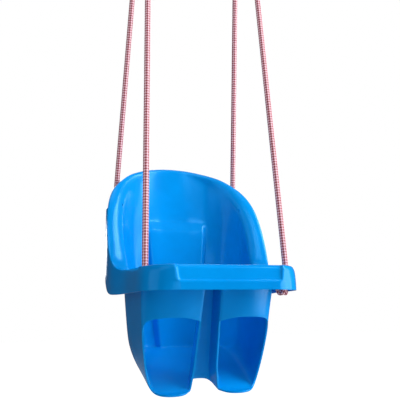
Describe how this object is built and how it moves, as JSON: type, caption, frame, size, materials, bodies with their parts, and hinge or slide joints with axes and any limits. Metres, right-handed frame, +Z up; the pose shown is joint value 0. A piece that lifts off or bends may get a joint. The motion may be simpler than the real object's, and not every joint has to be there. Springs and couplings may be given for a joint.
{
  "type": "toddler bucket swing",
  "caption": "Moulded plastic bucket seat with a front bar, wing back and leg openings, hung on braided ropes from steel rings.",
  "frame": {"origin": "midway between the points inside the tops of the two rings where hooks hold them", "axes": "+X across the seat to the right as seen from in front, -Y the way the child faces, +Z up"},
  "size_m": [0.3516, 0.3846, 1.3662],
  "materials": {
    "moulded_plastic": "gloss",
    "braided_rope": "matte",
    "zinc_plated_steel": "satin"
  },
  "bodies": {
    "hanging_rings": {"hanging_ring_left": "zinc_plated_steel", "hanging_ring_right": "zinc_plated_steel"},
    "swing": {"seat_shell": "moulded_plastic", "rope_front_left": "braided_rope", "rope_front_right": "braided_rope", "rope_rear_left": "braided_rope", "rope_rear_right": "braided_rope", "stopper_knot_front_left": "braided_rope", "stopper_knot_front_right": "braided_rope", "stopper_knot_rear_left": "braided_rope", "stopper_knot_rear_right": "braided_rope", "ring_knot_left": "braided_rope", "ring_knot_right": "braided_rope", "ring_loop_left": "braided_rope", "ring_loop_right": "braided_rope"}
  },
  "joints": [
    {"name": "swing", "type": "hinge", "parent": "hanging_rings", "child": "swing", "pos_m": [0, 0, -0.043], "axis": [1, 0, 0], "range_deg": [-45, 45]}
  ]
}
